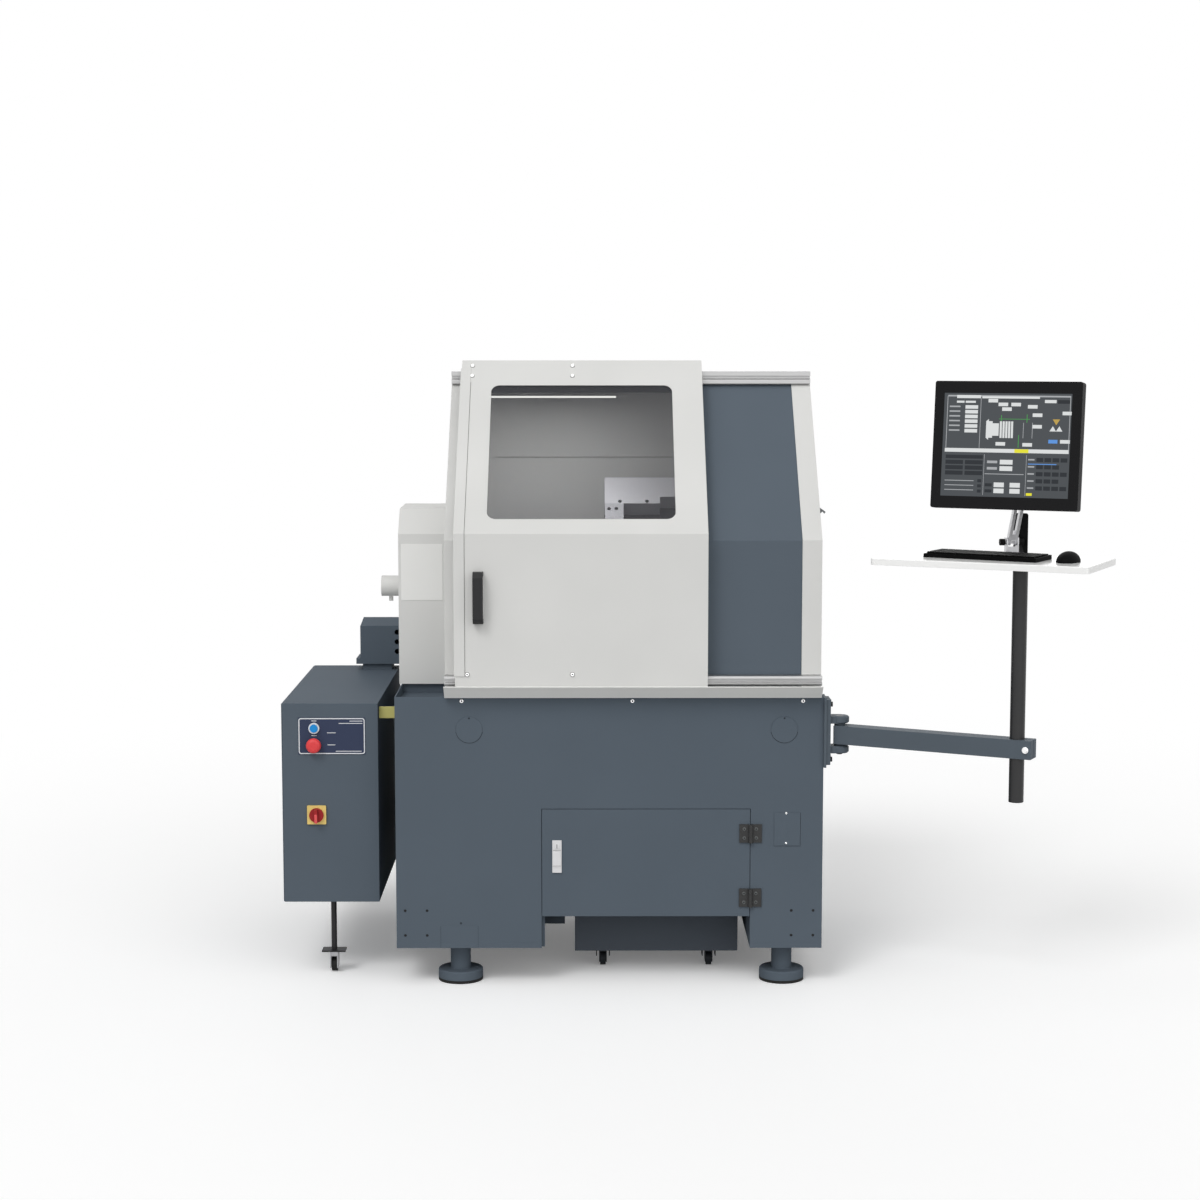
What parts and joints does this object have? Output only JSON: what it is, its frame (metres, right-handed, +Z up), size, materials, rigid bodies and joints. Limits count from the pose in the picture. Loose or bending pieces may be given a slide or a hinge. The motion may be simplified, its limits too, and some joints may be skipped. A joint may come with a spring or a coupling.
{
  "type": "cnc turning lathe",
  "caption": "Slant-bed turning lathe in a sloped enclosure with a sliding window door, on a sheet-metal stand, with a side cabinet and a screen on a swing arm.",
  "frame": {"origin": "on the floor, under the middle of the whole lathe with its arm and cabinet as pictured", "axes": "+X to the right along the spindle towards the screen arm, +Y from the door to the back, +Z up"},
  "size_m": [2.256, 1.3019, 1.7272],
  "materials": {
    "grey_base": "fine powder coat, blue-grey",
    "light_shell": "fine powder coat, light grey",
    "dark_panel": "fine powder coat, blue-grey",
    "ledge_grey": "satin paint",
    "foot_rubber": "matt",
    "rail_aluminium": "anodised, satin",
    "cast_bed": "painted casting",
    "ground_steel": "ground",
    "bright_steel": "polished",
    "stainless": "brushed stainless sheet",
    "black_plastic": "moulded, fine grain",
    "belt_rubber": "matt",
    "window_pane": "clear polycarbonate",
    "lamp": "diffuser",
    "latch_grey": "satin",
    "plate_navy": "printed plate",
    "button_blue": "gloss",
    "button_red": "gloss",
    "pole_black": "satin black",
    "arm_grey": "fine powder coat, blue-grey",
    "table_white": "laminate",
    "screen_glass": "lit panel"
  },
  "bodies": {
    "machine": {"base_cabinet": "grey_base", "drip_ledge": "ledge_grey", "cover_plates": "grey_base", "levelling_feet": "grey_base", "foot_pads": "foot_rubber", "enclosure_left_side": "light_shell", "enclosure_right_side": "light_shell", "enclosure_back": "light_shell", "front_panel": "dark_panel", "door_rails": "rail_aluminium", "headstock_cover": "light_shell", "slant_bed": "cast_bed", "headstock": "cast_bed", "bed_ways": "ground_steel", "light_bar": "lamp", "spindle_motor": "black_plastic", "drive_belt": "belt_rubber", "arm_bracket": "arm_grey", "fixings": "ground_steel", "hinge_leaves": "black_plastic"},
    "spindle": {"spindle": "ground_steel", "spindle_pulley": "rail_aluminium", "chuck_body": "bright_steel"},
    "jaw_1": {"chuck_jaw_1": "ground_steel"},
    "jaw_2": {"chuck_jaw_2": "ground_steel"},
    "jaw_3": {"chuck_jaw_3": "ground_steel"},
    "motor_shaft": {"motor_pulley": "rail_aluminium"},
    "carriage": {"saddle": "ground_steel", "drive_cover": "stainless"},
    "cross_slide": {"cross_slide": "ground_steel", "tool_post": "ground_steel"},
    "screw": {"carriage_screw": "bright_steel"},
    "door": {"door_panel": "light_shell", "door_window": "window_pane", "door_handle": "black_plastic", "door_carriers": "ledge_grey"},
    "access_door": {"access_door": "grey_base", "hinge_flaps": "black_plastic"},
    "latch_lever": {"latch_lever": "latch_grey"},
    "coolant_tank": {"coolant_tank": "grey_base", "tank_casters": "black_plastic"},
    "electrical_cabinet": {"cabinet_shell": "grey_base", "control_plates": "plate_navy", "junction_box": "grey_base", "cabinet_leg": "grey_base"},
    "cabinet_door": {"cabinet_door": "grey_base"},
    "reset_button": {"reset_button": "button_blue"},
    "stop_button": {"stop_button": "button_red"},
    "switch_knob": {"switch_knob": "button_red"},
    "leg_fork": {"leg_fork": "ledge_grey"},
    "leg_wheel": {"leg_wheel": "black_plastic"},
    "arm": {"arm_tube": "arm_grey"},
    "pole": {"pole": "pole_black"},
    "table": {"table_top": "table_white", "keyboard": "black_plastic", "mouse": "black_plastic", "stand_base": "rail_aluminium"},
    "monitor_link": {"stand_links": "ledge_grey"},
    "monitor": {"monitor_housing": "black_plastic", "lcd_panel": "screen_glass"}
  },
  "joints": [
    {"name": "spindle_turn", "type": "hinge", "parent": "machine", "child": "spindle", "pos_m": [-0.5545, 0.13395, 1.081], "axis": [1, 0, 0], "continuous": true},
    {"name": "motor_turn", "type": "hinge", "parent": "machine", "child": "motor_shaft", "pos_m": [-0.7045, 0.43395, 0.88], "axis": [1, 0, 0], "continuous": true},
    {"name": "carriage_slide", "type": "slide", "parent": "machine", "child": "carriage", "axis": [1, 0, 0], "range_m": [-0.29, 0.1]},
    {"name": "screw_turn", "type": "hinge", "parent": "machine", "child": "screw", "pos_m": [-0.1045, 0.28669, 0.98484], "axis": [1, 0, 0], "continuous": true},
    {"name": "cross_slide_travel", "type": "slide", "parent": "carriage", "child": "cross_slide", "axis": [0, 0.7071, 0.7071], "range_m": [-0.1, 0.06]},
    {"name": "door_slide", "type": "slide", "parent": "machine", "child": "door", "axis": [1, 0, 0], "range_m": [0, 0.46]},
    {"name": "access_door_hinge", "type": "hinge", "parent": "machine", "child": "access_door", "pos_m": [0.176, -0.23405, 0.34], "axis": [0, 0, 1], "range_deg": [0, 110]},
    {"name": "latch_pull", "type": "hinge", "parent": "access_door", "child": "latch_lever", "pos_m": [-0.359, -0.22635, 0.411], "axis": [-1, 0, 0], "range_deg": [0, 30]},
    {"name": "tank_pull", "type": "slide", "parent": "machine", "child": "coolant_tank", "axis": [0, -1, 0], "range_m": [0, 0.5]},
    {"name": "cabinet_swing", "type": "hinge", "parent": "machine", "child": "electrical_cabinet", "pos_m": [-0.83175, 0.62395, 0.5], "axis": [0, 0, 1], "range_deg": [-90, 0]},
    {"name": "cabinet_door_hinge", "type": "hinge", "parent": "electrical_cabinet", "child": "cabinet_door", "pos_m": [-1.123, 0.64595, 0.5], "axis": [0, 0, -1], "range_deg": [0, 120]},
    {"name": "reset_press", "type": "slide", "parent": "electrical_cabinet", "child": "reset_button", "axis": [0, 1, 0], "range_m": [0, 0.003], "stiffness_N_per_m": 600, "springref_m": -0.002},
    {"name": "stop_press", "type": "slide", "parent": "electrical_cabinet", "child": "stop_button", "axis": [0, 1, 0], "range_m": [0, 0.005], "stiffness_N_per_m": 800, "springref_m": -0.002},
    {"name": "switch_turn", "type": "hinge", "parent": "electrical_cabinet", "child": "switch_knob", "pos_m": [-1.032, -0.15105, 0.465], "axis": [0, 1, 0], "range_deg": [0, 90]},
    {"name": "leg_swivel", "type": "hinge", "parent": "electrical_cabinet", "child": "leg_fork", "pos_m": [-0.994, -0.07905, 0.055], "axis": [0, 0, 1], "continuous": true},
    {"name": "leg_roll", "type": "hinge", "parent": "leg_fork", "child": "leg_wheel", "pos_m": [-0.994, -0.06505, 0.02], "axis": [1, 0, 0], "continuous": true},
    {"name": "arm_swing", "type": "hinge", "parent": "machine", "child": "arm", "pos_m": [0.422, -0.19605, 0.7], "axis": [0, 0, 1], "range_deg": [-60, 75]},
    {"name": "pole_height", "type": "slide", "parent": "arm", "child": "pole", "axis": [0, 0, 1], "range_m": [-0.25, 0.1]},
    {"name": "table_turn", "type": "hinge", "parent": "pole", "child": "table", "pos_m": [0.87075, -0.42767, 1.19], "axis": [0, 0, 1], "range_deg": [-90, 90]},
    {"name": "link_lean", "type": "hinge", "parent": "table", "child": "monitor_link", "pos_m": [0.87013, -0.29351, 1.243], "axis": [0.9978, 0.0663, 0], "range_deg": [-25, 12]},
    {"name": "monitor_tilt", "type": "hinge", "parent": "monitor_link", "child": "monitor", "pos_m": [0.87888, -0.42518, 1.43865], "axis": [0.9978, 0.0663, 0], "range_deg": [-15, 20]},
    {"name": "jaw_1_slide", "type": "slide", "parent": "spindle", "child": "jaw_1", "axis": [0, 0, 1], "range_m": [-0.008, 0.006]},
    {"name": "jaw_2_slide", "type": "slide", "parent": "spindle", "child": "jaw_2", "axis": [0, -0.866, -0.5], "range_m": [-0.008, 0.006]},
    {"name": "jaw_3_slide", "type": "slide", "parent": "spindle", "child": "jaw_3", "axis": [0, 0.866, -0.5], "range_m": [-0.008, 0.006]}
  ],
  "couplings": [
    {"joint": "motor_turn", "follows": "spindle_turn", "ratio": 1.7105},
    {"joint": "screw_turn", "follows": "carriage_slide", "rad_per_m": 1256.6},
    {"joint": "jaw_2_slide", "follows": "jaw_1_slide", "ratio": 1},
    {"joint": "jaw_3_slide", "follows": "jaw_1_slide", "ratio": 1}
  ]
}
